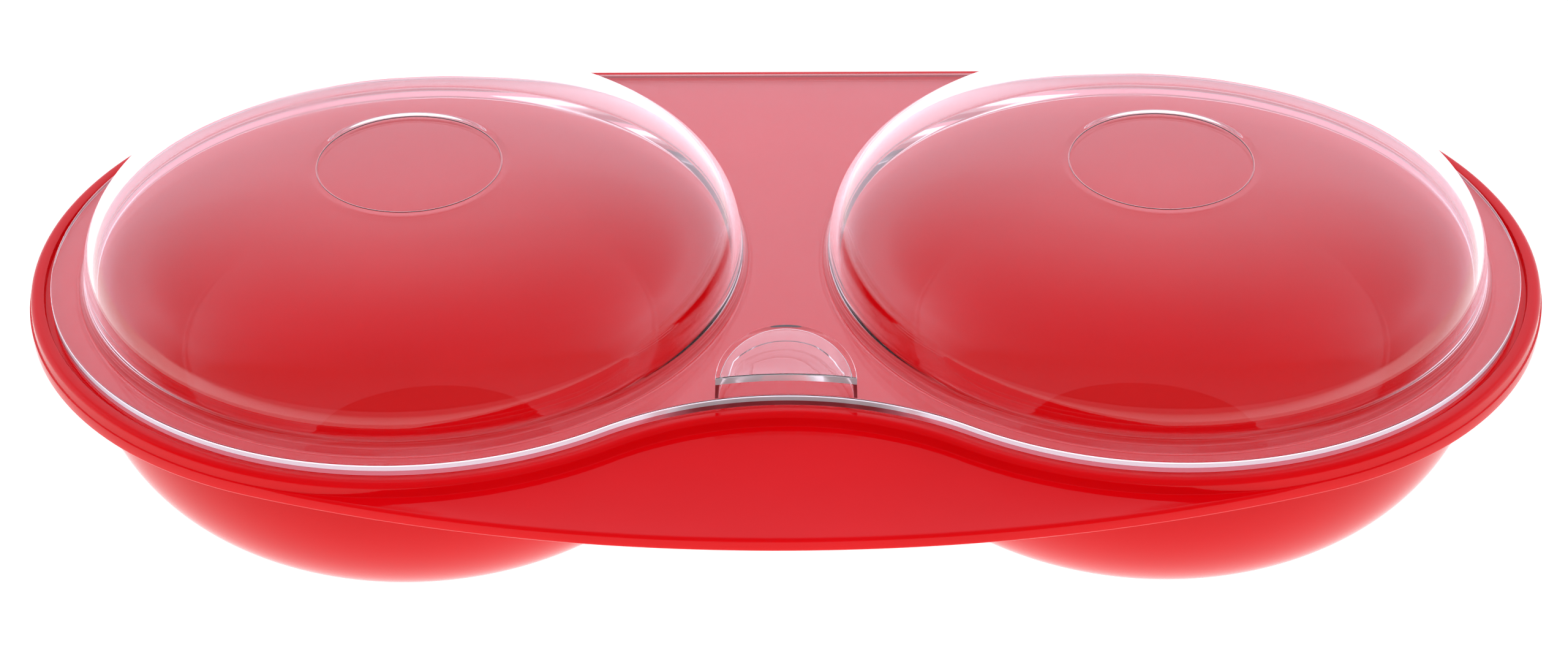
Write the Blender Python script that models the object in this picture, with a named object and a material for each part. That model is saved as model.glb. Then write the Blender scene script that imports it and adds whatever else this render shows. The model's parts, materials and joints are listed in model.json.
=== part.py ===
"""Two-cup microwave egg cooker: a red moulded base tray and a loose clear lid.

Metres, +Z up, +X to the right, -Y towards the front grip.
Origin: centre of the outline on the floor, under the bowls' flat feet.
Levels are measured from the top of the tray's rim, which stands RIM_TOP above the floor.
"""
import math

import bmesh
import bpy

# ---------- driving dimensions ----------
BOWL_X = 0.0542            # half the distance between the two bowl axes
RIM_TOP = 0.0374           # floor to the flat top of the rim
LID_R = 0.0528             # end radius of the lid's outline
LID_FRONT = 0.03658        # bowl axis line to the middle of the lid's front edge
LID_THICK = 0.0017         # lid sheet
REST_GAP = 0.0003          # air kept between the lid and the deck
RIM_GAP = 0.0010           # play around the lid, inside the rim
RIM_WIDTH = 0.0020         # rim, from the play around the lid to its outer face
RIM_ROUND = 0.0011         # rounding on the rim's outer top edge
RIM_DRAFT = 0.0003         # how much the rim's outer face leans out at its foot
DECK_LEVEL = -0.00095      # deck that the lid rests on
GRIP_LEVEL = -0.0020       # top of the grip at the front
TRAY_BOTTOM = -0.0040      # lower edge of the tray
EDGE_ROUND = 0.00045       # rounding on the grip's edges
SHEET = 0.0020             # wall of the tray and the bowls
GRIP_FRONT = 0.0656        # bowl axis line to the front of the grip

BOWL_TOP_R = 0.0492        # outer radius of a bowl where it leaves the tray
BOWL_TOP_LEVEL = -0.00344
BOWL_DEPTH = 0.0352        # depth of the full curve below that level
BOWL_POWER = 2.6           # squareness of the bowl's curve
MOUTH_ROUND = 0.0028       # rounding where the deck turns down into a bowl

DOME_R = 0.0472            # outer radius of a dome at the sheet
DOME_RISE = 0.01573        # dome height above the lid's sheet
DOME_POWER = 3.0           # squareness of the dome's shoulder
DOME_WALL = 0.0012
DOME_FOOT = 0.0013         # rounding where a dome meets the sheet
HOLLOW_ROUND = 0.0030      # rounding at the mouth of a dome's hollow
DISC_R = 0.0133            # shallow flat disc let into the top of each dome
DISC_SINK = 0.0003
DISC_EDGE = 0.0006         # flat left around the disc

TAB_HALF = 0.00975         # half width of the lift tab
TAB_DEPTH = 0.0137         # front edge to the back of the tab
TAB_RISE = 0.00335         # tab above the lid's sheet
TAB_SHEET = 0.0014         # roof of the tab
TAB_WALL = 0.0007          # wall around the tab's slot
TAB_SETBACK = 0.0003       # tab front behind the lid's front edge

# ---------- worked out ----------
TRAY_R = LID_R + RIM_GAP + RIM_WIDTH + RIM_DRAFT
BOWL_Y = (GRIP_FRONT - TRAY_R) / 2
LID_UNDER = DECK_LEVEL + REST_GAP
LIFT_ORIGIN = (0.0, BOWL_Y, RIM_TOP + LID_UNDER)

# ---------- facets ----------
ROUND = 48                 # sides of a bowl or dome
END_HALF = 24              # sides of half of an outline's end
END_TAIL = 6
NECK = 10
GRIP_ARC = 16
CURVE_RINGS = 9            # rings down a bowl's or dome's curve
TAB_ARC = 16


def neck_centre():
    """Radius and centre distance of the arc that hollows the lid's front edge."""
    reach = BOWL_X ** 2 + LID_FRONT ** 2 - LID_R ** 2
    radius = reach / (2 * (LID_R - LID_FRONT))
    return radius, LID_FRONT + radius


def arc(centre, radius, start, stop, steps):
    """Points along an arc in degrees, without the last one."""
    points = []
    for step in range(steps):
        angle = math.radians(start + (stop - start) * step / steps)
        x = centre[0] + radius * math.cos(angle)
        y = centre[1] + radius * math.sin(angle)
        points.append((x, y))
    return points


def mirrored(half):
    """Close a left-hand half outline with its mirror image."""
    right = [(-x, y) for x, y in reversed(half) if abs(x) > 1e-9]
    return half + right


def lid_outline(offset):
    """Waisted outline: two round ends, a straight back, a hollow front."""
    radius, distance = neck_centre()
    lean = math.degrees(math.atan2(distance, BOWL_X))
    end = LID_R + offset
    left = (-BOWL_X, 0.0)
    half = arc(left, end, 90, 270, END_HALF)
    half += arc(left, end, 270, 360 - lean, END_TAIL)
    half += arc((0.0, -distance), radius - offset, 180 - lean, 90, NECK // 2)
    half.append((0.0, -distance + radius - offset))
    return mirrored(half)


def tray_outline(inset):
    """Outline with the same ends and back, and one bulging arc across the front."""
    end = TRAY_R
    rise = (end ** 2 - BOWL_X ** 2 - GRIP_FRONT ** 2) / (2 * (end - GRIP_FRONT))
    centre = rise - GRIP_FRONT
    lean = math.degrees(math.atan2(centre, BOWL_X))
    left = (-BOWL_X, 0.0)
    half = arc(left, end - inset, 90, 180, END_HALF // 2)
    half += arc(left, end - inset, 180, 180 + lean, END_HALF // 2)
    half += arc((0.0, centre), rise - inset, 180 + lean, 270, GRIP_ARC // 2)
    half.append((0.0, centre - rise + inset))
    return mirrored(half)


def circle(centre_x, radius, sides=ROUND):
    """Round outline about one bowl axis."""
    return arc((centre_x, 0.0), radius, 0, 360, sides)


def curve_point(base, rise, power, share):
    """Radius and height on a squared-off quarter curve; share runs 0 to 1."""
    angle = share * math.pi / 2
    radius = base * math.cos(angle) ** (2 / power)
    height = rise * math.sin(angle) ** (2 / power)
    return radius, height


def curve_radius(base, rise, power, height):
    """Radius of the same curve at a given height."""
    return base * (1 - (height / rise) ** power) ** (1 / power)


def solid(name, rings, origin):
    """Closed body through rings of (outline, level); the ends are flat caps."""
    bm = bmesh.new()
    loops = []
    for outline, level in rings:
        loops.append([bm.verts.new((x, y, level)) for x, y in outline])
    for low, high in zip(loops, loops[1:]):
        for i in range(len(low)):
            j = (i + 1) % len(low)
            bm.faces.new((low[i], low[j], high[j], high[i]))
    bm.faces.new(loops[0])
    bm.faces.new(loops[-1])
    bmesh.ops.recalc_face_normals(bm, faces=bm.faces)
    mesh = bpy.data.meshes.new(name)
    bm.to_mesh(mesh)
    bm.free()
    body = bpy.data.objects.new(name, mesh)
    body.location = origin
    bpy.context.scene.collection.objects.link(body)
    return body


def combine(body, tool, operation):
    """Add or cut away a hidden tool with an exact Boolean."""
    tool.hide_render = True
    tool.display_type = 'WIRE'
    step = body.modifiers.new(tool.name, 'BOOLEAN')
    step.operation = operation
    step.solver = 'EXACT'
    step.object = tool


def plastic(name, colour, roughness, clear):
    """Glossy moulded plastic, opaque or see-through."""
    material = bpy.data.materials.new(name)
    material.use_nodes = True
    shader = material.node_tree.nodes['Principled BSDF']
    shader.inputs['Base Color'].default_value = colour
    shader.inputs['Roughness'].default_value = roughness
    shader.inputs['Metallic'].default_value = 0.0
    shader.inputs['Transmission Weight'].default_value = clear
    return material


# ---------- base tray ----------
def rim_block(origin):
    """Raised rim around the lid, before the deck is let into it."""
    outer = RIM_GAP + RIM_WIDTH
    half_round = RIM_ROUND * (1 - math.sqrt(0.5))
    rings = [
        (lid_outline(outer + RIM_DRAFT - EDGE_ROUND), (GRIP_LEVEL + TRAY_BOTTOM) / 2),
        (lid_outline(outer + RIM_DRAFT - EDGE_ROUND), GRIP_LEVEL - EDGE_ROUND),
        (lid_outline(outer + RIM_DRAFT * 0.9), GRIP_LEVEL),
        (lid_outline(outer + RIM_DRAFT * 0.5), -RIM_ROUND),
        (lid_outline(outer - half_round), -half_round),
        (lid_outline(outer - RIM_ROUND), 0.0),
    ]
    return solid('rim_block', rings, origin)


def tray_plate(origin):
    """Plate under the rim, whose bulging front is the grip."""
    rings = [
        (tray_outline(EDGE_ROUND), TRAY_BOTTOM),
        (tray_outline(0.0), TRAY_BOTTOM + EDGE_ROUND),
        (tray_outline(0.0), GRIP_LEVEL - EDGE_ROUND),
        (tray_outline(EDGE_ROUND), GRIP_LEVEL),
    ]
    return solid('base_tray', rings, origin)


def deck_cut(origin):
    """Shallow bed inside the rim that takes the lid's edge."""
    bed = lid_outline(RIM_GAP)
    return solid('deck_cut', [(bed, DECK_LEVEL), (bed, RIM_WIDTH)], origin)


def underside_cut(origin):
    """Relief under the deck, which keeps the tray one sheet thick."""
    bed = lid_outline(RIM_GAP)
    rings = [(bed, TRAY_BOTTOM - SHEET), (bed, DECK_LEVEL - SHEET)]
    return solid('underside_cut', rings, origin)


def bowl_outside(name, centre_x, origin):
    """Outer skin of one bowl, from inside the deck's sheet down to its flat foot."""
    rings = [(circle(centre_x, BOWL_TOP_R), DECK_LEVEL - SHEET / 2)]
    for ring in range(CURVE_RINGS + 1):
        radius, drop = curve_point(BOWL_TOP_R, BOWL_DEPTH, BOWL_POWER, ring / (CURVE_RINGS + 2))
        level = BOWL_TOP_LEVEL - drop
        if level > -RIM_TOP + EDGE_ROUND:
            rings.append((circle(centre_x, radius), level))
    rings.append((circle(centre_x, foot_radius()), -RIM_TOP))
    return solid(name, rings, origin)


def foot_radius():
    """Radius of the flat foot that a bowl's full curve is cut off at."""
    return curve_radius(BOWL_TOP_R, BOWL_DEPTH, BOWL_POWER, RIM_TOP + BOWL_TOP_LEVEL)


def bowl_inside(name, centre_x, origin):
    """Hollow of one bowl, with the rounded turn from the deck at its mouth."""
    inner = BOWL_TOP_R - SHEET
    rings = [(circle(centre_x, inner + MOUTH_ROUND), RIM_WIDTH)]
    for step in range(4):
        angle = math.radians(30 * step)
        radius = inner + MOUTH_ROUND * (1 - math.sin(angle))
        level = DECK_LEVEL - MOUTH_ROUND * (1 - math.cos(angle))
        rings.append((circle(centre_x, radius), level))
    floor = -RIM_TOP + SHEET
    for ring in range(1, CURVE_RINGS + 1):
        share = ring / (CURVE_RINGS + 2)
        radius, drop = curve_point(inner, BOWL_DEPTH - SHEET, BOWL_POWER, share)
        level = BOWL_TOP_LEVEL - drop
        if level > floor + EDGE_ROUND:
            rings.append((circle(centre_x, radius), level))
    rings.append((circle(centre_x, foot_radius()), floor))
    return solid(name, rings, origin)


def base_tray():
    """The red tray with its two bowls, grip and rim, all one moulding."""
    origin = (0.0, BOWL_Y, RIM_TOP)
    body = tray_plate(origin)
    combine(body, rim_block(origin), 'UNION')
    combine(body, deck_cut(origin), 'DIFFERENCE')
    combine(body, underside_cut(origin), 'DIFFERENCE')
    for side, centre_x in (('left', -BOWL_X), ('right', BOWL_X)):
        combine(body, bowl_outside(side + '_bowl_outside', centre_x, origin), 'UNION')
        combine(body, bowl_inside(side + '_bowl_inside', centre_x, origin), 'DIFFERENCE')
    body.data.materials.append(plastic('red_plastic', (0.62, 0.004, 0.012, 1.0), 0.12, 0.0))


# ---------- lid ----------
def lid_sheet(origin):
    """Flat sheet of the lid; levels on the lid start at its underside."""
    bevel = EDGE_ROUND / 2
    rings = [
        (lid_outline(-bevel), 0.0),
        (lid_outline(0.0), bevel),
        (lid_outline(0.0), LID_THICK - bevel),
        (lid_outline(-bevel), LID_THICK),
    ]
    return solid('lid', rings, origin)


def dome_outside(name, centre_x, origin):
    """Outer skin of one dome with a rounded foot on the sheet."""
    rings = [
        (circle(centre_x, DOME_R + DOME_FOOT), LID_THICK / 2),
        (circle(centre_x, DOME_R + DOME_FOOT), LID_THICK + DOME_FOOT * 0.02),
        (circle(centre_x, DOME_R + DOME_FOOT * 0.3), LID_THICK + DOME_FOOT * 0.3),
        (circle(centre_x, DOME_R), LID_THICK + DOME_FOOT),
    ]
    for ring in range(1, CURVE_RINGS):
        radius, rise = curve_point(DOME_R, DOME_RISE, DOME_POWER, ring / CURVE_RINGS)
        if rise > DOME_FOOT * 1.2:
            rings.append((circle(centre_x, radius), LID_THICK + rise))
    rings.append((circle(centre_x, DISC_R + DISC_EDGE), dome_top()))
    return solid(name, rings, origin)


def dome_top():
    """Level where the dome's curve has closed in to the disc's edge."""
    edge = DISC_R + DISC_EDGE
    return LID_THICK + curve_radius(DOME_RISE, DOME_R, DOME_POWER, edge)


def dome_inside(name, centre_x, origin):
    """Hollow of one dome, open through the sheet with a rounded mouth."""
    inner = DOME_R - DOME_WALL
    rings = [(circle(centre_x, inner + HOLLOW_ROUND), -LID_THICK)]
    for step in range(4):
        angle = math.radians(30 * step)
        radius = inner + HOLLOW_ROUND * (1 - math.sin(angle))
        rings.append((circle(centre_x, radius), HOLLOW_ROUND * (1 - math.cos(angle))))
    for ring in range(1, CURVE_RINGS):
        radius, rise = curve_point(inner, DOME_RISE - DOME_WALL, DOME_POWER, ring / CURVE_RINGS)
        if rise > DOME_FOOT:
            rings.append((circle(centre_x, radius), LID_THICK + rise))
    return solid(name, rings, origin)


def disc_cut(name, centre_x, origin):
    """Shallow disc let into the top of one dome."""
    disc = circle(centre_x, DISC_R)
    sunk = dome_top() - DISC_SINK
    return solid(name, [(disc, sunk), (disc, sunk + DOME_WALL)], origin)


def tab_outline(inset, front):
    """Half-moon: a half ellipse behind, closed by the line of the lid's front edge."""
    radius, distance = neck_centre()
    half_width = TAB_HALF - inset
    corner = -distance + math.sqrt((radius + front) ** 2 - half_width ** 2)
    depth = TAB_DEPTH - inset - front
    points = []
    for step in range(TAB_ARC + 1):
        angle = math.pi * step / TAB_ARC
        points.append((half_width * math.cos(angle), corner + depth * math.sin(angle)))
    for step in range(1, NECK):
        x = half_width * (2 * step / NECK - 1)
        points.append((x, -distance + math.sqrt((radius + front) ** 2 - x ** 2)))
    return points


def tab_block(origin):
    """Raised half-moon at the middle of the front edge."""
    top = LID_THICK + TAB_RISE
    bevel = EDGE_ROUND / 2
    rings = [
        (tab_outline(-EDGE_ROUND, TAB_SETBACK), LID_THICK / 2),
        (tab_outline(-EDGE_ROUND, TAB_SETBACK), LID_THICK + bevel),
        (tab_outline(0.0, TAB_SETBACK), top - bevel),
        (tab_outline(bevel, TAB_SETBACK + bevel), top),
    ]
    return solid('tab_block', rings, origin)


def tab_slot(origin):
    """Slot under the tab's roof, open to the front for a fingertip."""
    ceiling = LID_THICK + TAB_RISE - TAB_SHEET
    floor = LID_THICK + REST_GAP / 4
    slot = tab_outline(TAB_WALL, -TAB_SHEET)
    return solid('tab_slot', [(slot, floor), (slot, ceiling)], origin)


def lid():
    """The clear lid with its two domes and lift tab, all one moulding."""
    body = lid_sheet(LIFT_ORIGIN)
    combine(body, tab_block(LIFT_ORIGIN), 'UNION')
    combine(body, tab_slot(LIFT_ORIGIN), 'DIFFERENCE')
    for side, centre_x in (('left', -BOWL_X), ('right', BOWL_X)):
        combine(body, dome_outside(side + '_dome_outside', centre_x, LIFT_ORIGIN), 'UNION')
        combine(body, dome_inside(side + '_dome_inside', centre_x, LIFT_ORIGIN), 'DIFFERENCE')
        combine(body, disc_cut(side + '_disc_cut', centre_x, LIFT_ORIGIN), 'DIFFERENCE')
    body.data.materials.append(plastic('clear_plastic', (0.95, 0.96, 0.97, 1.0), 0.03, 1.0))


for old in list(bpy.data.objects):
    bpy.data.objects.remove(old)
base_tray()
lid()
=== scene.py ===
"""Looks of the two-cup microwave egg cooker: a glossy red tray under a loose clear lid.

Metres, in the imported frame. Levels are measured from the top of the tray's rim, and outlines from
the line between the two bowl axes, as in the part's own source.
"""
import json
import math

import bmesh
import bpy
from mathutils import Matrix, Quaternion, Vector


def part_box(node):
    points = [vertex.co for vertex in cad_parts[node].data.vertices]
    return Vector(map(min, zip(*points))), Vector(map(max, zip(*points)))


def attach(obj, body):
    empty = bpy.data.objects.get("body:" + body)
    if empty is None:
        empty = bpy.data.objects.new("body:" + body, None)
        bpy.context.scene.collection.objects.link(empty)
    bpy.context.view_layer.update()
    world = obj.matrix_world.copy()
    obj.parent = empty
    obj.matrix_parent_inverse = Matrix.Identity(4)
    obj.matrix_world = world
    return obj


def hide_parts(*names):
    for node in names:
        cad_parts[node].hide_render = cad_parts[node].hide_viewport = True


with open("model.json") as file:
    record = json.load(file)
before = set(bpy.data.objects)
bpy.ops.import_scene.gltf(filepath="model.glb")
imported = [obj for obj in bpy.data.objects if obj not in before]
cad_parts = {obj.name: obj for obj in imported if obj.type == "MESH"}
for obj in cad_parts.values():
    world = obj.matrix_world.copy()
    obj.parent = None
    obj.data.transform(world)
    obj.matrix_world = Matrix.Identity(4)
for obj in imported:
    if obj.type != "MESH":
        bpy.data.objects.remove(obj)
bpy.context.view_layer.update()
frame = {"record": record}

# ---------- sizes read from the frame ----------
tray_low, tray_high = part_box("base_tray")
lid_low, lid_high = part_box("lid")
feet = {mount["name"]: mount["pos_m"] for mount in frame["record"]["mounts"]}
BOWL_X, BOWL_Y = feet["right_foot"][:2]
RIM_TOP = tray_high.z
TRAY_R = tray_high.x - BOWL_X          # end radius of the tray's outline
LID_R = lid_high.x - BOWL_X            # end radius of the lid's outline
GRIP_FRONT = BOWL_Y - tray_low.y       # bowl axis line to the front of the grip
LID_UNDER = lid_low.z - RIM_TOP
DOME_TOP = lid_high.z - RIM_TOP

# ---------- sizes, the part's own unless the comment says otherwise ----------
LID_FRONT = 0.03658
LID_THICK = 0.0017
RIM_GAP = 0.0010
RIM_WIDTH = 0.0020
RIM_ROUND = 0.0008         # tighter than the part's
DECK_LEVEL = -0.00095
GRIP_LEVEL = -0.0020
TRAY_BOTTOM = -0.0040
EDGE_ROUND = 0.00045
SHEET = 0.0020
BOWL_TOP_R = 0.0492
BOWL_TOP_LEVEL = -0.00344
BOWL_DEPTH = 0.0352
BOWL_POWER = 2.6
MOUTH_ROUND = 0.0028
DOME_R = 0.0478            # wider than the part's by 0.6 mm
DOME_POWER = 3.0
DOME_WALL = 0.0012
DOME_FOOT = 0.0013
HOLLOW_ROUND = 0.0014      # tighter than the part's
DISC_R = 0.0133
DISC_EDGE = 0.0006
TAB_HALF = 0.00975
TAB_DEPTH = 0.0137
TAB_RISE = 0.00335
TAB_SHEET = 0.0011         # thinner than the part's, as the wall below it is
TAB_WALL = 0.00045
TAB_SETBACK = 0.0003
LID_TOP = LID_UNDER + LID_THICK
DISC_SHARE = (1 - ((DISC_R + DISC_EDGE) / DOME_R) ** DOME_POWER) ** (1 / DOME_POWER)
DOME_RISE = (DOME_TOP - LID_TOP) / DISC_SHARE      # full curve, whose top the disc cuts off

# ---------- small roundings that only the looks have ----------
DECK_FILLET = 0.0002       # deck to the rim's inner wall
LIP_ROUND = 0.00015        # inner top edge of the rim
WALL_LEAN = 0.00008        # how far the rim's outer wall leans out
WALL_FOOT = 0.0001         # rim's outer wall to the grip
LEDGE_ROUND = 0.0001       # tray edge where it is flush with the rim
LID_ROUND = 0.0002         # edges of the lid's sheet
SUPPORT = 0.00025          # flat strip that keeps a flat face's shading flat
TAB_LEAN = 0.0001
TAB_ROUND = 0.0002
SLOT_LIFT = 0.00003        # slot floor above the sheet's top
DISC_BANK = 0.0012         # width of the soft bank around a dome's disc
DISC_DIP = 0.00009         # level of the disc below its bank
BEAD_HALF = 0.00011        # half width of the fine bead around the disc
BEAD_RISE = 0.00009
EDGE_SPLIT = 0.00085       # lower part of the sheet's edge, which the rim hides from the light
CLEARANCE = 1.2            # a dome's curve starts this many roundings above its foot or mouth
BANK_CLEARANCE = 1.5       # and its outside stops this many banks away from the disc
LEDGE_SHARE = 0.8          # most of the ledge beside the rim that its rounding may take
INNER_FLAT = 0.98          # extra ring in a bowl's flat, which keeps its shading flat
INNER_HALF = 0.5           # ring halfway to the middle of a flat

# ---------- mesh density ----------
ROUND = 192
END_HALF = 96
END_TAIL = 24
NECK_HALF = 20
CURVE_RINGS = 40
TAB_ARC = 48
BANK_RINGS = 8
SIDE_RINGS = 14
SHARP_ANGLE = 35.0
EDGE_TILT = 0.8            # a face whose normal rises less than this belongs to an edge

# ---------- kinds of face on the lid, 0 being polished, the others matt with painted light on them ---
LOW_EDGE = 1.0             # low on the sheet's edge, and beside the slot; tinted with a painted red reflection of the rim
BAND = 2.0                 # higher on the sheet's edge, and the front of the tab's roof, with a painted glow
TOP_LINE = 3.0             # along the top of both, with a painted highlight


# ---------- outlines and profiles ----------
def neck_centre():
    """Radius and centre distance of the arc that hollows the lid's front edge."""
    reach = BOWL_X ** 2 + LID_FRONT ** 2 - LID_R ** 2
    radius = reach / (2 * (LID_R - LID_FRONT))
    return radius, LID_FRONT + radius


def arc(centre, radius, start, stop, steps):
    """Points along an arc in degrees, both ends included."""
    points = []
    for step in range(steps + 1):
        angle = math.radians(start + (stop - start) * step / steps)
        points.append((centre[0] + radius * math.cos(angle), centre[1] + radius * math.sin(angle)))
    return points


def mirrored(half):
    """Close a left-hand half outline, whose last point is on the middle line."""
    return half + [(-x, y) for x, y in reversed(half[:-1])]


def lid_outline(offset):
    """Waisted outline of the lid, moved outwards by offset."""
    radius, distance = neck_centre()
    lean = math.degrees(math.atan2(distance, BOWL_X))
    left, end = (-BOWL_X, 0.0), LID_R + offset
    half = arc(left, end, 90, 270, END_HALF)[:-1]
    half += arc(left, end, 270, 360 - lean, END_TAIL)[:-1]
    half += arc((0.0, -distance), radius - offset, 180 - lean, 90, NECK_HALF)
    return mirrored(half)


def tray_edge():
    """Tray's outer outline with its outward normals, point for point beside the lid's outline."""
    rise = (TRAY_R ** 2 - BOWL_X ** 2 - GRIP_FRONT ** 2) / (2 * (TRAY_R - GRIP_FRONT))
    centre = rise - GRIP_FRONT
    lean = math.atan2(centre, BOWL_X)
    turn_x = -BOWL_X - TRAY_R * math.cos(lean)
    inner = lid_outline(0.0)
    stretch = turn_x / (-BOWL_X - LID_R * math.cos(lean))
    half = []
    for step, (x, y) in enumerate(inner[:len(inner) // 2 + 1]):
        if step * math.pi / END_HALF <= math.pi / 2 + lean:
            normal = ((x + BOWL_X) / LID_R, y / LID_R)
            half.append(((-BOWL_X + TRAY_R * normal[0], TRAY_R * normal[1]), normal))
        else:
            run = x * stretch
            fall = math.sqrt(rise ** 2 - run ** 2)
            half.append(((run, centre - fall), (run / rise, -fall / rise)))
    right = [((-p[0], p[1]), (-n[0], n[1])) for p, n in reversed(half[:-1])]
    return half + right


def squared(base, rise, power, share):
    """Radius and height on a squared-off quarter curve; share runs 0 to 1."""
    angle = share * math.pi / 2
    return base * math.cos(angle) ** (2 / power), rise * math.sin(angle) ** (2 / power)


def radius_at(base, rise, power, height):
    """Radius of the same curve at a given height."""
    return base * (1 - (height / rise) ** power) ** (1 / power)


# ---------- mesh work ----------
def ring(bm, points):
    """Vertices at (x, y, level)."""
    return [bm.verts.new((x, y + BOWL_Y, level + RIM_TOP)) for x, y, level in points]


def bridge(bm, rings):
    """Quads from each ring to the next."""
    for first, second in zip(rings, rings[1:]):
        for i in range(len(first)):
            bm.faces.new((first[i - 1], first[i], second[i], second[i - 1]))


def fill(bm, outlines):
    """Flat face bounded by one outline, with the others as holes in it."""
    edges = []
    for loop in outlines:
        for i in range(len(loop)):
            edge = bm.edges.get((loop[i - 1], loop[i]))
            edges.append(edge or bm.edges.new((loop[i - 1], loop[i])))
    bmesh.ops.triangle_fill(bm, edges=edges, use_beauty=True)


def skirt(bm, profile):
    """Rings that follow the lid's outline through (offset, level) points."""
    rings = []
    for offset, level in profile:
        rings.append(ring(bm, [(x, y, level) for x, y in lid_outline(offset)]))
    bridge(bm, rings)
    return rings


def turned(bm, centre_x, profile, closed):
    """Rings about one bowl axis through (radius, level) points; closed caps the last one."""
    rings = []
    for radius, level in profile:
        circle = arc((centre_x, 0.0), radius, 0, 360, ROUND)[:-1]
        rings.append(ring(bm, [(x, y, level) for x, y in circle]))
    bridge(bm, rings)
    if closed:
        last = rings[-1]
        middle = ring(bm, [(centre_x, 0.0, profile[-1][1])])[0]
        for i in range(ROUND):
            bm.faces.new((last[i - 1], last[i], middle))
    return rings[0]


def finished(name, bm):
    """Object made from the mesh, smooth except across sharp edges."""
    bmesh.ops.recalc_face_normals(bm, faces=bm.faces)
    mesh = bpy.data.meshes.new(name)
    bm.to_mesh(mesh)
    bm.free()
    body = bpy.data.objects.new(name, mesh)
    bpy.context.scene.collection.objects.link(body)
    shade(body)
    return body


def shade(body):
    """Smooth shading, split across edges sharper than SHARP_ANGLE."""
    for face in body.data.polygons:
        face.use_smooth = True
    body.data.set_sharp_from_angle(angle=math.radians(SHARP_ANGLE))


# ---------- base tray ----------
def rim_profile():
    """Deck's edge, rim and the foot of its outer wall, as (offset, level)."""
    outer = RIM_GAP + RIM_WIDTH
    foot = outer + WALL_LEAN + WALL_FOOT
    profile = [(RIM_GAP - DECK_FILLET - SUPPORT, DECK_LEVEL)]
    profile += arc((RIM_GAP - DECK_FILLET, DECK_LEVEL + DECK_FILLET), DECK_FILLET, 270, 360, 4)
    profile += arc((RIM_GAP + LIP_ROUND, -LIP_ROUND), LIP_ROUND, 180, 90, 4)
    profile += arc((outer - RIM_ROUND, -RIM_ROUND), RIM_ROUND, 90, 0, 8)
    profile += arc((foot, GRIP_LEVEL + WALL_FOOT), WALL_FOOT, 180, 270, 3)
    return profile


def tray_side(bm, foot):
    """Grip, tray edge and underside lip, outwards from the foot of the rim; returns the lip's ring."""
    sections = [[] for _ in range(SIDE_RINGS)]
    for (edge, normal), vertex in zip(tray_edge(), foot):
        start = Vector((vertex.co.x, vertex.co.y - BOWL_Y))
        out = Vector(normal)
        ledge = (Vector(edge) - start).length
        turn = min(EDGE_ROUND, max(LEDGE_ROUND, ledge * LEDGE_SHARE))
        flat = Vector(edge) - out * turn
        steps = [(start.lerp(flat, 1 - min(0.5, SUPPORT / ledge)), GRIP_LEVEL)]
        for inset, drop in arc((turn, turn), turn, 270, 180, 5):
            steps.append((Vector(edge) - out * inset, GRIP_LEVEL - drop))
        for inset, rise in arc((EDGE_ROUND, EDGE_ROUND), EDGE_ROUND, 180, 270, 5):
            steps.append((Vector(edge) - out * inset, TRAY_BOTTOM + rise))
        steps.append((Vector(edge) - out * (EDGE_ROUND + SUPPORT), TRAY_BOTTOM))
        for section, (point, level) in zip(sections, steps):
            section.append((point.x, point.y, level))
    rings = [ring(bm, section) for section in sections]
    bridge(bm, [foot] + rings)
    return rings[-1]


def relief_profile():
    """Relief under the deck, from the lip up to the deck's underside."""
    under = DECK_LEVEL - SHEET
    profile = [(RIM_GAP + DECK_FILLET + SUPPORT, TRAY_BOTTOM)]
    profile += arc((RIM_GAP + DECK_FILLET, TRAY_BOTTOM + DECK_FILLET), DECK_FILLET, 270, 180, 4)
    profile += arc((RIM_GAP - DECK_FILLET, under - DECK_FILLET), DECK_FILLET, 0, 90, 4)
    profile.append((RIM_GAP - DECK_FILLET - SUPPORT, under))
    return profile


def bowl_skin(wall):
    """One bowl's skin, wall inside its outer surface: mouth, curve and flat bottom."""
    mouth = (BOWL_TOP_R - SHEET + MOUTH_ROUND, DECK_LEVEL - MOUTH_ROUND)
    turn = MOUTH_ROUND - SHEET + wall
    profile = [(mouth[0] + SUPPORT, mouth[1] + turn)]
    profile += arc(mouth, turn, 90, 180, 10)
    base, rise = BOWL_TOP_R - wall, BOWL_DEPTH - wall
    bottom = -RIM_TOP + wall
    for step in range(1, CURVE_RINGS):
        radius, drop = squared(base, rise, BOWL_POWER, step / CURVE_RINGS)
        if BOWL_TOP_LEVEL - drop > bottom:
            profile.append((radius, BOWL_TOP_LEVEL - drop))
    flat = radius_at(base, rise, BOWL_POWER, BOWL_TOP_LEVEL - bottom)
    profile += [(flat, bottom), (flat * INNER_FLAT, bottom), (flat * INNER_HALF, bottom)]
    return profile


def base_tray():
    """Red moulding: deck, rim, grip and two bowls, as one closed skin."""
    bm = bmesh.new()
    rim = skirt(bm, rim_profile())
    lip = tray_side(bm, rim[-1])
    relief = skirt(bm, relief_profile())
    bridge(bm, [lip, relief[0]])
    mouths = [turned(bm, x, bowl_skin(SHEET), True) for x in (-BOWL_X, BOWL_X)]
    fill(bm, [rim[0]] + mouths)
    roots = [turned(bm, x, bowl_skin(0.0), True) for x in (-BOWL_X, BOWL_X)]
    fill(bm, [relief[-1]] + roots)
    return finished("tray_moulding", bm)


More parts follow.
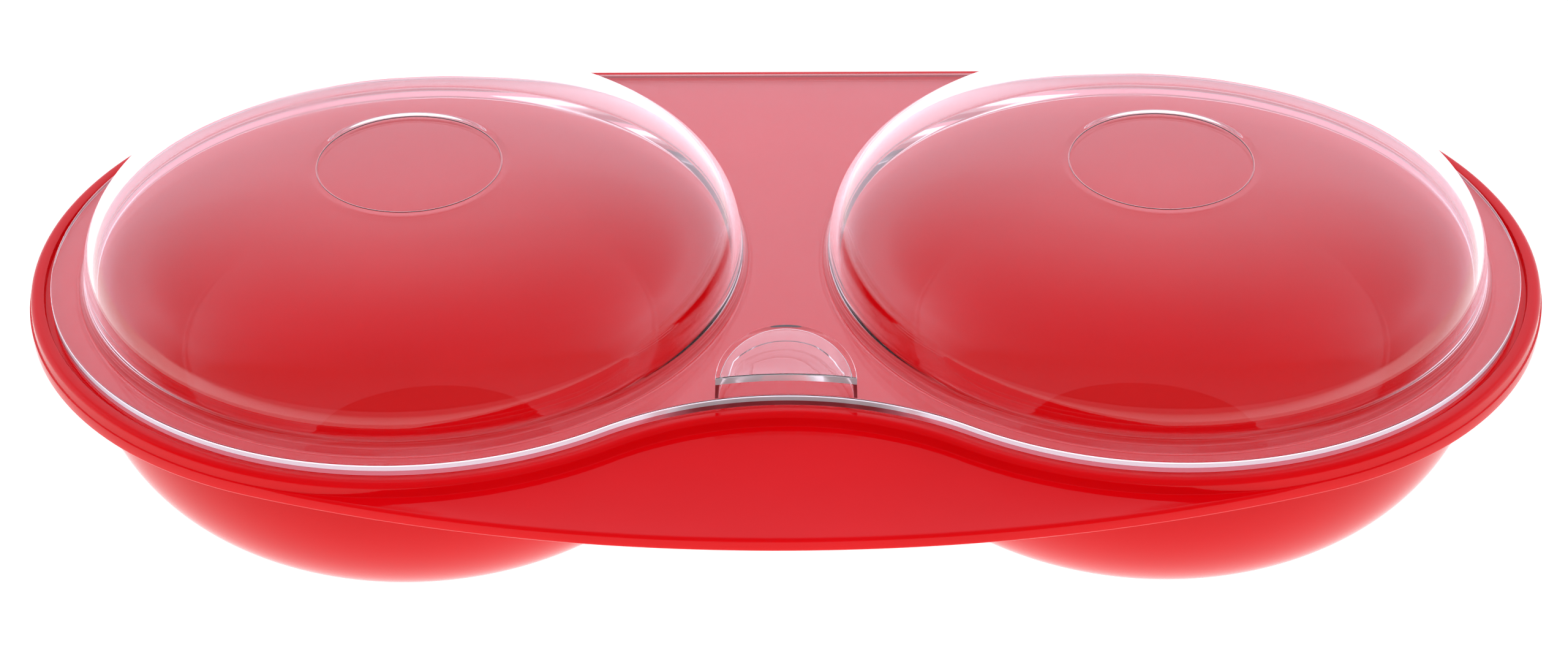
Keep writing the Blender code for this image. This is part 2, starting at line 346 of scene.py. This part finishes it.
# ---------- lid ----------
def sheet_profile():
    """Edge of the lid's sheet, from its underside round to its top."""
    profile = [(-LID_ROUND - SUPPORT, LID_UNDER)]
    profile += arc((-LID_ROUND, LID_UNDER + LID_ROUND), LID_ROUND, 270, 360, 4)
    profile.append((0.0, LID_UNDER + EDGE_SPLIT))
    profile += arc((-LID_ROUND, LID_TOP - LID_ROUND), LID_ROUND, 0, 90, 4)
    profile.append((-LID_ROUND - SUPPORT, LID_TOP))
    return profile


def dome_outside():
    """Dome's outer skin, from its rounded foot up to the shallow disc in its top."""
    profile = [(DOME_R + DOME_FOOT + SUPPORT, LID_TOP)]
    profile += arc((DOME_R + DOME_FOOT, LID_TOP + DOME_FOOT), DOME_FOOT, 270, 180, 8)
    for step in range(1, CURVE_RINGS):
        radius, rise = squared(DOME_R, DOME_RISE, DOME_POWER, step / CURVE_RINGS)
        if rise > DOME_FOOT * CLEARANCE and radius > DISC_R + DISC_BANK * BANK_CLEARANCE:
            profile.append((radius, LID_TOP + rise))
    for step in range(BANK_RINGS):
        share = step / BANK_RINGS
        radius = DISC_R + BEAD_HALF + DISC_BANK * (1 - share)
        level = dome_level(radius) - DISC_DIP * share ** 2 * (3 - 2 * share)
        profile.append((radius, level))
    sunk = dome_level(DISC_R) - DISC_DIP
    for angle in range(0, 181, 30):
        radius = DISC_R + BEAD_HALF * math.cos(math.radians(angle))
        profile.append((radius, sunk + BEAD_RISE * math.sin(math.radians(angle))))
    profile += [(DISC_R - BEAD_HALF - SUPPORT, sunk), (DISC_R * INNER_HALF, sunk)]
    return profile


def dome_level(radius):
    """Level of the dome's outer curve at a radius, held to the height of the disc's edge."""
    edge = max(radius, DISC_R + DISC_EDGE)
    return LID_TOP + radius_at(DOME_RISE, DOME_R, DOME_POWER, edge)


def dome_inside():
    """Dome's hollow, from the sheet's underside upwards."""
    inner = DOME_R - DOME_WALL
    mouth = inner + HOLLOW_ROUND
    profile = [(mouth + SUPPORT, LID_UNDER)]
    profile += arc((mouth, LID_UNDER + HOLLOW_ROUND), HOLLOW_ROUND, 270, 180, 12)
    for step in range(1, CURVE_RINGS):
        radius, rise = squared(inner, DOME_RISE - DOME_WALL, DOME_POWER, step / CURVE_RINGS)
        if LID_TOP + rise > LID_UNDER + HOLLOW_ROUND * CLEARANCE:
            profile.append((radius, LID_TOP + rise))
    return profile


def tab_outline(inset, front):
    """Half-moon: a half ellipse behind, closed by the line of the lid's front edge."""
    radius, distance = neck_centre()
    half_width = TAB_HALF - inset
    corner = -distance + math.sqrt((radius + front) ** 2 - half_width ** 2)
    depth = TAB_DEPTH - inset - front
    points = []
    for step in range(TAB_ARC + 1):
        angle = math.pi * step / TAB_ARC
        points.append((half_width * math.cos(angle), corner + depth * math.sin(angle)))
    for step in range(1, NECK_HALF):
        x = half_width * (2 * step / NECK_HALF - 1)
        points.append((x, -distance + math.sqrt((radius + front) ** 2 - x ** 2)))
    return points


def tab_solid(name, rings):
    """Closed body through half-moons of (inset, front, level)."""
    bm = bmesh.new()
    loops = []
    for inset, front, level in rings:
        loops.append(ring(bm, [(x, y, level) for x, y in tab_outline(inset, front)]))
    bridge(bm, loops)
    bm.faces.new(loops[0])
    bm.faces.new(loops[-1])
    return finished(name, bm)


def combined(body, tool, operation):
    """Add or cut away a tool with an exact Boolean, then drop the tool."""
    step = body.modifiers.new(tool.name, "BOOLEAN")
    step.operation, step.solver, step.object = operation, "EXACT", tool
    graph = bpy.context.evaluated_depsgraph_get()
    result = bpy.data.meshes.new_from_object(body.evaluated_get(graph))
    body.modifiers.clear()
    body.data = result
    bpy.data.objects.remove(tool)


def add_tab(body):
    """Half-moon lift tab with a fingertip slot that opens to the front."""
    roof = LID_TOP + TAB_RISE
    block = [(-TAB_LEAN, TAB_SETBACK, LID_TOP - LID_THICK / 2), (0.0, TAB_SETBACK, roof - TAB_SHEET)]
    for inset, drop in arc((TAB_ROUND, TAB_ROUND), TAB_ROUND, 180, 270, 4):
        block.append((inset, TAB_SETBACK + inset, roof - drop))
    combined(body, tab_solid("tab_block", block), "UNION")
    slot = [(TAB_WALL - TAB_LEAN, -TAB_SHEET, LID_TOP + SLOT_LIFT)]
    for inset, drop in arc((TAB_ROUND, TAB_ROUND), TAB_ROUND, 180, 270, 4):
        slot.append((TAB_WALL + inset, -TAB_SHEET, roof - TAB_SHEET - drop))
    combined(body, tab_solid("tab_slot", slot), "DIFFERENCE")


def lid():
    """Clear moulding: sheet, two domes and the lift tab, as one closed skin."""
    bm = bmesh.new()
    edge = skirt(bm, sheet_profile())
    hollows = [turned(bm, x, dome_inside(), True) for x in (-BOWL_X, BOWL_X)]
    fill(bm, [edge[0]] + hollows)
    domes = [turned(bm, x, dome_outside(), True) for x in (-BOWL_X, BOWL_X)]
    fill(bm, [edge[-1]] + domes)
    body = finished("lid_moulding", bm)
    add_tab(body)
    shade(body)
    mark_edges(body)
    return body


def mark_edges(body):
    """Face attributes: edge for the matt edges, which also sets their painted glow, painted highlight or
    painted red reflection, and a mask of the domes' outer skin, which carries a painted sheen.
    """
    edge = body.data.attributes.new("edge", "FLOAT", "FACE")
    painted_sheen_mask = body.data.attributes.new("painted_sheen_mask", "FLOAT", "FACE")
    for face in body.data.polygons:
        edge.data[face.index].value = edge_kind(face.center, face.normal)
        side = math.copysign(BOWL_X, face.center.x)
        outwards = face.center - Vector((side, BOWL_Y, RIM_TOP + LID_TOP - DOME_RISE))
        near = math.hypot(outwards.x, outwards.y) < DOME_R + DOME_FOOT
        above = face.center.z > RIM_TOP + LID_TOP + LID_ROUND
        painted_sheen_mask.data[face.index].value = 1.0 if near and above and outwards.dot(face.normal) > 0 else 0.0


def edge_kind(centre, normal):
    """LOW_EDGE, BAND or TOP_LINE for a face on a matt edge, else 0; these get a painted red reflection, a
    painted glow and a painted highlight in turn.
    """
    x, y, level = centre.x, centre.y - BOWL_Y, centre.z - RIM_TOP
    dome = math.hypot(abs(x) - BOWL_X, y) < DOME_R + DOME_FOOT + SUPPORT
    if dome or abs(normal.z) > EDGE_TILT:
        return 0.0
    if level > LID_TOP:
        radius, distance = neck_centre()
        behind_front = math.hypot(x, y + distance) - radius
        if behind_front < TAB_SETBACK + TAB_ROUND and normal.y < -EDGE_TILT:
            return BAND if level > LID_TOP + TAB_RISE - TAB_SHEET else LOW_EDGE
        return TOP_LINE if level > LID_TOP + TAB_RISE - TAB_ROUND else 0.0
    if level > LID_TOP - LID_ROUND:
        return TOP_LINE
    return BAND if level > LID_UNDER + EDGE_SPLIT else LOW_EDGE


# ---------- materials ----------
RED_LOW = (0.76, 0.0010, 0.0040, 1.0)
RED_HIGH = (0.80, 0.0016, 0.0055, 1.0)
RED_FLOW = 40.0              # features a metre
RED_WEAR = 900.0
RED_WAVES = 110.0
RED_GRAIN = 5000.0
RED_ROUGH = (0.04, 0.09)
RED_IOR = 1.30
FLOW_RANGE = (0.3, 0.7)      # part of each noise that is used
WEAR_RANGE = (0.35, 0.75)
RED_WAVE_HEIGHT = 0.00002
RED_GRAIN_HEIGHT = 0.0000006
DEPTH_WEIGHT = 0.4
DEPTH_COLOUR = (1.0, 0.03, 0.03)
DEPTH = 0.004                # how far light travels inside the red plastic

LIGHT_THROUGH = 0.98         # share of light that each clear face of the lid lets through
EDGE_LIGHT_THROUGH = 0.5     # the same for its matt edges
EDGE_CLEAR = 0.72            # share of an edge that stays clear
EDGE_ROUGH = 0.30
PAINTED_BAND_GLOW = 0.14             # painted glow on the sheet's edge, standing in for light piped along the clear sheet that leaves at its edge
PAINTED_LINE_GLOW = 0.75             # painted highlight along the edge's top, for the same piped light
PAINTED_SHEEN_STRENGTH = 0.35                  # painted sheen: lilac glow painted where the domes' outer skin turns away from the eye, standing in for the reflection of the bright walls
PAINTED_SHEEN_FACING = (0.46, 0.95)   # where the painted sheen starts and where it is full
# colour of the painted sheen and of the painted edge glow
PAINTED_GLOW_LILAC = (0.95, 0.86, 1.0, 1.0)
CLEAR_COLOUR = (0.996, 0.990, 0.994, 1.0)
# painted reflection: red painted on the clear sheet's low edge for the red light it takes from the rim
# beside it
PAINTED_RIM_REFLECTION = (0.80, 0.12, 0.15, 1.0)
CLEAR_MARKS = 70.0           # features a metre
CLEAR_WAVES = 90.0
CLEAR_SCRATCHES = 900.0
SCRATCH_STRETCH = (1.0, 0.06, 1.0)
CLEAR_ROUGH = (0.012, 0.06)
CLEAR_IOR = 1.50
MARKS_RANGE = (0.50, 0.80)
CLEAR_WAVE_HEIGHT = 0.000012
SCRATCH_HEIGHT = 0.0000006


def shader_tree(name):
    """New node material; returns it with its tree and its Principled shader."""
    material = bpy.data.materials.new(name)
    material.use_nodes = True
    return material, material.node_tree, material.node_tree.nodes["Principled BSDF"]


def noise(tree, scale, detail, stretch=(1.0, 1.0, 1.0)):
    """Noise value over the piece's own coordinates; scale is in features a metre."""
    place = tree.nodes.new("ShaderNodeTexCoord")
    size = tree.nodes.new("ShaderNodeMapping")
    size.inputs["Scale"].default_value = stretch
    texture = tree.nodes.new("ShaderNodeTexNoise")
    texture.inputs["Scale"].default_value = scale
    texture.inputs["Detail"].default_value = detail
    tree.links.new(place.outputs["Object"], size.inputs["Vector"])
    tree.links.new(size.outputs["Vector"], texture.inputs["Vector"])
    return texture.outputs["Fac"]


def ranged(tree, value, low, high, new_low, new_high):
    """Value remapped from low..high to new_low..new_high, clamped."""
    node = tree.nodes.new("ShaderNodeMapRange")
    limits = {"From Min": low, "From Max": high, "To Min": new_low, "To Max": new_high}
    for socket, number in limits.items():
        node.inputs[socket].default_value = number
    tree.links.new(value, node.inputs["Value"])
    return node.outputs["Result"]


def bumped(tree, shader, layers):
    """Chain of bumps on the shader's normal; each layer is (value, height in metres)."""
    normal = None
    for value, height in layers:
        bump = tree.nodes.new("ShaderNodeBump")
        bump.inputs["Distance"].default_value = height
        tree.links.new(value, bump.inputs["Height"])
        if normal:
            tree.links.new(normal, bump.inputs["Normal"])
        normal = bump.outputs["Normal"]
    tree.links.new(normal, shader.inputs["Normal"])


def red_plastic():
    """Glossy moulded red: faint flow marks in the colour, soft waviness, and fine wear in the gloss."""
    material, tree, shader = shader_tree("red_plastic")
    flow = ranged(tree, noise(tree, RED_FLOW, 3.0), *FLOW_RANGE, 0.0, 1.0)
    mix = tree.nodes.new("ShaderNodeMix")
    mix.data_type = "RGBA"
    mix.inputs["A"].default_value = RED_LOW
    mix.inputs["B"].default_value = RED_HIGH
    tree.links.new(flow, mix.inputs["Factor"])
    tree.links.new(mix.outputs["Result"], shader.inputs["Base Color"])
    shader.inputs["Subsurface Weight"].default_value = DEPTH_WEIGHT
    shader.inputs["Subsurface Radius"].default_value = DEPTH_COLOUR
    shader.inputs["Subsurface Scale"].default_value = DEPTH
    wear = noise(tree, RED_WEAR, 4.0)
    tree.links.new(ranged(tree, wear, *WEAR_RANGE, *RED_ROUGH), shader.inputs["Roughness"])
    shader.inputs["IOR"].default_value = RED_IOR
    waviness = noise(tree, RED_WAVES, 1.0)
    grain = noise(tree, RED_GRAIN, 2.0)
    bumped(tree, shader, [(waviness, RED_WAVE_HEIGHT), (grain, RED_GRAIN_HEIGHT)])
    return material


def maths(tree, operation, first, second):
    """Math node on a value and a second value or number."""
    node = tree.nodes.new("ShaderNodeMath")
    node.operation = operation
    tree.links.new(first, node.inputs[0])
    if isinstance(second, float):
        node.inputs[1].default_value = second
    else:
        tree.links.new(second, node.inputs[1])
    return node.outputs["Value"]


def painted(tree, name):
    """Value of a face attribute."""
    node = tree.nodes.new("ShaderNodeAttribute")
    node.attribute_name = name
    return node.outputs["Fac"]


def clear_plastic():
    """Clear polished moulding with faint flow waviness, handling marks and hairline scratches; its emission
    is painted light, a painted sheen on the domes and a painted glow and highlight on its edges, and its
    low edges carry a painted red reflection of the rim.
    """
    material, tree, shader = shader_tree("clear_plastic")
    edge, painted_sheen_mask = (painted(tree, name) for name in ("edge", "painted_sheen_mask"))
    # painted red reflection of the rim on the low edge, clear colour everywhere else
    mix = tree.nodes.new("ShaderNodeMix")
    mix.data_type = "RGBA"
    mix.inputs["A"].default_value = PAINTED_RIM_REFLECTION
    mix.inputs["B"].default_value = CLEAR_COLOUR
    other = maths(tree, "ABSOLUTE", maths(tree, "SUBTRACT", edge, LOW_EDGE), 0.0)
    tree.links.new(ranged(tree, other, 0.0, 1.0, 0.0, 1.0), mix.inputs["Factor"])
    tree.links.new(mix.outputs["Result"], shader.inputs["Base Color"])
    tree.links.new(ranged(tree, edge, 0.0, LOW_EDGE, 1.0, EDGE_CLEAR), shader.inputs["Transmission Weight"])
    shader.inputs["IOR"].default_value = CLEAR_IOR
    marks = ranged(tree, noise(tree, CLEAR_MARKS, 5.0), *MARKS_RANGE, *CLEAR_ROUGH)
    rough = ranged(tree, edge, 0.0, LOW_EDGE, 0.0, EDGE_ROUGH)
    tree.links.new(maths(tree, "MAXIMUM", marks, rough), shader.inputs["Roughness"])
    waviness = noise(tree, CLEAR_WAVES, 1.0)
    scratches = noise(tree, CLEAR_SCRATCHES, 2.0, SCRATCH_STRETCH)
    bumped(tree, shader, [(waviness, CLEAR_WAVE_HEIGHT), (scratches, SCRATCH_HEIGHT)])
    # painted sheen: lilac emission on the domes' outer skin, stronger where it turns away from the eye,
    # standing in for the reflection of the bright walls
    facing = tree.nodes.new("ShaderNodeLayerWeight").outputs["Facing"]
    painted_sheen_glow = maths(tree, "MULTIPLY", ranged(tree, facing, *PAINTED_SHEEN_FACING, 0.0, PAINTED_SHEEN_STRENGTH), painted_sheen_mask)
    # painted glow on the sheet's edge and the front of the tab's roof, and a painted highlight line along
    # the top of both
    band = ranged(tree, edge, LOW_EDGE, BAND, 0.0, PAINTED_BAND_GLOW)
    line = ranged(tree, edge, BAND, TOP_LINE, 0.0, PAINTED_LINE_GLOW - PAINTED_BAND_GLOW)
    shader.inputs["Emission Color"].default_value = PAINTED_GLOW_LILAC
    glow = maths(tree, "ADD", painted_sheen_glow, maths(tree, "ADD", band, line))
    tree.links.new(glow, shader.inputs["Emission Strength"])
    let_light_through(tree, shader, edge)
    return material


def let_light_through(tree, shader, edge):
    """Lets lamps and bounced light pass straight through the clear moulding onto what is under it."""
    path = tree.nodes.new("ShaderNodeLightPath")
    either = maths(tree, "MAXIMUM", path.outputs["Is Shadow Ray"], path.outputs["Is Diffuse Ray"])
    pass_on = tree.nodes.new("ShaderNodeBsdfTransparent")
    share = ranged(tree, edge, 0.0, LOW_EDGE, LIGHT_THROUGH, EDGE_LIGHT_THROUGH)
    tree.links.new(share, pass_on.inputs["Color"])
    mix = tree.nodes.new("ShaderNodeMixShader")
    tree.links.new(either, mix.inputs["Fac"])
    tree.links.new(shader.outputs["BSDF"], mix.inputs[1])
    tree.links.new(pass_on.outputs["BSDF"], mix.inputs[2])
    tree.links.new(mix.outputs["Shader"], tree.nodes["Material Output"].inputs["Surface"])


# ---------- stage ----------
CAMERA_PITCH = 33.66
CAMERA_DISTANCE = 0.5133
CAMERA_AIM_Y = -0.01225
CAMERA_ROLL = -0.22
CAMERA_LENS = 82.56
CAMERA_SHIFT = -0.0012
SENSOR_WIDTH = 36.0
NEAREST = 0.01
FLOOR_SIZE = 6.0
FLOOR_SINK = 0.0002        # keeps the floor clear of the bowls' feet
FLOOR_GREY = 0.25
GLOW_RANGE = (-0.30, -0.12)    # along Y: far in front of the grip, and just in front of it
GLOW = (0.15, 1.1)
LAMP_SIZE = 1.4
LAMP_PLACE = (0.0, -0.75, 0.95)
LAMP_POWER = 10.0
SKY_SPREAD = 0.70          # how strongly the sky lights matt surfaces, beside how bright it looks
SKY = (                    # height and brightness, from the horizon to straight up
    (0.0, 1.35), (0.50, 1.30), (0.56, 1.12), (0.64, 0.86), (0.77, 0.60), (0.88, 0.42), (1.0, 0.28),
)
SKY_TINT = (1.0, 0.93, 1.08)
FRONT_LEVEL = 0.18         # the dark room behind the camera
FRONT_RANGE = (-0.35, 0.25)    # along Y: where the room ends and the walls are at full strength


def camera():
    """Camera in front of the grip, looking down on the lid."""
    data = bpy.data.cameras.new("camera")
    data.lens, data.sensor_width, data.shift_x = CAMERA_LENS, SENSOR_WIDTH, CAMERA_SHIFT
    data.clip_start = NEAREST
    pitch = math.radians(CAMERA_PITCH)
    back = Vector((0.0, -math.cos(pitch), math.sin(pitch)))
    body = bpy.data.objects.new("camera", data)
    body.location = Vector((0.0, CAMERA_AIM_Y, RIM_TOP)) + back * CAMERA_DISTANCE
    body.rotation_mode = "QUATERNION"
    roll = Quaternion((0.0, 0.0, 1.0), math.radians(CAMERA_ROLL))
    body.rotation_quaternion = (-back).to_track_quat("-Z", "Y") @ roll
    bpy.context.scene.collection.objects.link(body)
    bpy.context.scene.camera = body


def floor():
    """Plain white table, which glows a little, as a lit acrylic sheet does."""
    half = FLOOR_SIZE / 2
    mesh = bpy.data.meshes.new("floor")
    corners = [(-half, -half, 0.0), (half, -half, 0.0), (half, half, 0.0), (-half, half, 0.0)]
    mesh.from_pydata(corners, [], [(0, 1, 2, 3)])
    body = bpy.data.objects.new("floor", mesh)
    body.location.z = -FLOOR_SINK
    bpy.context.scene.collection.objects.link(body)
    material, tree, shader = shader_tree("floor_white")
    shader.inputs["Base Color"].default_value = (FLOOR_GREY, FLOOR_GREY, FLOOR_GREY, 1.0)
    shader.inputs["Roughness"].default_value = 1.0
    shader.inputs["Specular IOR Level"].default_value = 0.0
    shader.inputs["Emission Color"].default_value = (1.0, 1.0, 1.0, 1.0)
    place = tree.nodes.new("ShaderNodeTexCoord")
    split = tree.nodes.new("ShaderNodeSeparateXYZ")
    tree.links.new(place.outputs["Object"], split.inputs["Vector"])
    glow = ranged(tree, split.outputs["Y"], *GLOW_RANGE, *GLOW)
    tree.links.new(glow, shader.inputs["Emission Strength"])
    mesh.materials.append(material)


def sky():
    """White studio walls that stop part of the way up, under a dimmer ceiling."""
    world = bpy.data.worlds.new("studio")
    world.use_nodes = True
    tree = world.node_tree
    place = tree.nodes.new("ShaderNodeTexCoord")
    split = tree.nodes.new("ShaderNodeSeparateXYZ")
    ramp = tree.nodes.new("ShaderNodeValToRGB")
    tree.links.new(place.outputs["Generated"], split.inputs["Vector"])
    tree.links.new(split.outputs["Z"], ramp.inputs["Fac"])
    stops = ramp.color_ramp.elements
    while len(stops) < len(SKY):
        stops.new(1.0)
    for stop, (height, level) in zip(stops, SKY):
        stop.position = height
        stop.color = [level * part for part in SKY_TINT] + [1.0]
    behind = ranged(tree, split.outputs["Y"], *FRONT_RANGE, 0.0, 1.0)
    mix = tree.nodes.new("ShaderNodeMix")
    mix.data_type = "RGBA"
    mix.inputs["A"].default_value = (FRONT_LEVEL, FRONT_LEVEL, FRONT_LEVEL, 1.0)
    tree.links.new(behind, mix.inputs["Factor"])
    tree.links.new(ramp.outputs["Color"], mix.inputs["B"])
    tree.links.new(mix.outputs["Result"], tree.nodes["Background"].inputs["Color"])
    path = tree.nodes.new("ShaderNodeLightPath")
    spread = ranged(tree, path.outputs["Is Diffuse Ray"], 0.0, 1.0, 1.0, SKY_SPREAD)
    tree.links.new(spread, tree.nodes["Background"].inputs["Strength"])
    bpy.context.scene.world = world


def soft_light():
    """Large soft light above the front that fills without a highlight of its own."""
    data = bpy.data.lights.new("front_fill", "AREA")
    data.shape, data.size, data.energy = "DISK", LAMP_SIZE, LAMP_POWER
    body = bpy.data.objects.new("front_fill", data)
    body.location = LAMP_PLACE
    body.rotation_mode = "QUATERNION"
    body.rotation_quaternion = (-body.location).to_track_quat("-Z", "Y")
    body.visible_glossy = False
    body.visible_transmission = False
    body.visible_camera = False
    bpy.context.scene.collection.objects.link(body)


# ---------- assembly ----------
def dressed(body, material, cad_body, node):
    """Give a moulding its material and its place in the frame."""
    body.data.materials.clear()
    body.data.materials.append(material)
    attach(body, cad_body)
    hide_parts(node)


bpy.context.scene.view_settings.view_transform = "Standard"
camera()
floor()
sky()
soft_light()
dressed(base_tray(), red_plastic(), "tray", "base_tray")
dressed(lid(), clear_plastic(), "lid", "lid")
